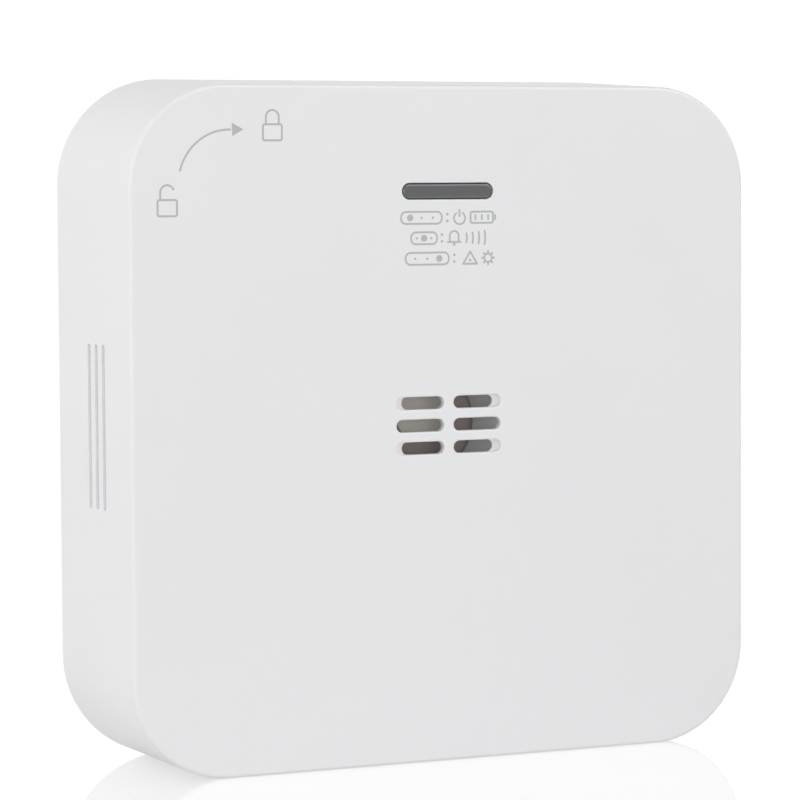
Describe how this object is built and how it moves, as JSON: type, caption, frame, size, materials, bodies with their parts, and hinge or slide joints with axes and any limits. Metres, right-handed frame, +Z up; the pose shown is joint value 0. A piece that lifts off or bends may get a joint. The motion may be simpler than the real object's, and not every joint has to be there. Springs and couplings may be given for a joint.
{
  "type": "carbon monoxide detector",
  "caption": "Square wall-mounted carbon monoxide alarm with rounded corners, slotted horn grille, status window, side test button, twist-on wall plate and hinged battery door.",
  "frame": {"origin": "bottom centre of the whole object's box", "axes": "+X to the right seen from the front, +Y from the front face back to the wall, +Z up"},
  "size_m": [0.1028, 0.0274, 0.1014],
  "materials": {
    "case_white": "fine-textured moulded ABS, satin",
    "window_tint": "dark tinted polycarbonate, polished",
    "shroud_white": "opaque white moulded plastic",
    "green_lens": "diffused green epoxy",
    "red_lens": "diffused red epoxy",
    "yellow_lens": "diffused yellow epoxy",
    "horn_black": "black-brown moulded plastic",
    "disc_metal": "dull nickel-brass disc",
    "foam": "closed-cell foam",
    "lead_insulation": "extruded insulation",
    "board_green": "solder mask over glass-fibre board",
    "screw_steel": "zinc-plated steel",
    "sensor_metal": "nickel-plated can",
    "sensor_cap_white": "moulded plastic",
    "pin_gold": "plated pins",
    "chip_black": "moulded epoxy",
    "capacitor_sleeve": "shrink sleeve",
    "ferrite": "ferrite core",
    "part_ceramic": "ceramic chip parts",
    "switch_black": "moulded switch body",
    "plunger_white": "moulded plunger",
    "cell_sleeve": "printed sleeve on steel can",
    "contact_nickel": "nickel-plated spring steel",
    "label_silver": "blank matt label",
    "plate_white": "moulded ABS, satin",
    "print_grey": "pad-printed ink of the marks on the face"
  },
  "bodies": {
    "housing": {"front_cover": "case_white", "status_window": "window_tint", "lamp_shroud": "shroud_white", "green_lamp": "green_lens", "red_lamp": "red_lens", "yellow_lamp": "yellow_lens", "horn_case": "horn_black", "horn_disc": "disc_metal", "horn_pad": "foam", "horn_leads": "lead_insulation", "circuit_board": "board_green", "board_screws": "screw_steel", "case_screws": "screw_steel", "sensor_can": "sensor_metal", "sensor_cap": "sensor_cap_white", "sensor_pins": "pin_gold", "microcontroller": "chip_black", "capacitor": "capacitor_sleeve", "horn_coil": "ferrite", "small_parts": "part_ceramic", "test_switch": "switch_black", "rear_housing": "case_white", "upper_cell": "cell_sleeve", "lower_cell": "cell_sleeve", "contact_plates": "contact_nickel", "contact_bridge": "contact_nickel", "contact_springs": "contact_nickel", "rating_label": "label_silver"},
    "mounting_plate": {"mounting_plate": "plate_white"},
    "battery_door": {"battery_door": "case_white"},
    "test_button": {"test_button": "case_white"},
    "switch_plunger": {"switch_plunger": "plunger_white"}
  },
  "joints": [
    {"name": "plate_twist", "type": "hinge", "parent": "housing", "child": "mounting_plate", "pos_m": [0, 0.01185, 0.05], "axis": [0, 1, 0], "range_deg": [0, 15]},
    {"name": "battery_door_hinge", "type": "hinge", "parent": "housing", "child": "battery_door", "pos_m": [0, 0.0121, 0.0374], "axis": [-1, 0, 0], "range_deg": [0, 95]},
    {"name": "test_button_press", "type": "slide", "parent": "housing", "child": "test_button", "axis": [-1, 0, 0], "range_m": [0, 0.0005], "stiffness_N_per_m": 1500},
    {"name": "switch_plunger_press", "type": "slide", "parent": "housing", "child": "switch_plunger", "axis": [-1, 0, 0], "range_m": [0, 0.0005]}
  ],
  "couplings": [
    {"joint": "switch_plunger_press", "follows": "test_button_press", "ratio": 1}
  ]
}
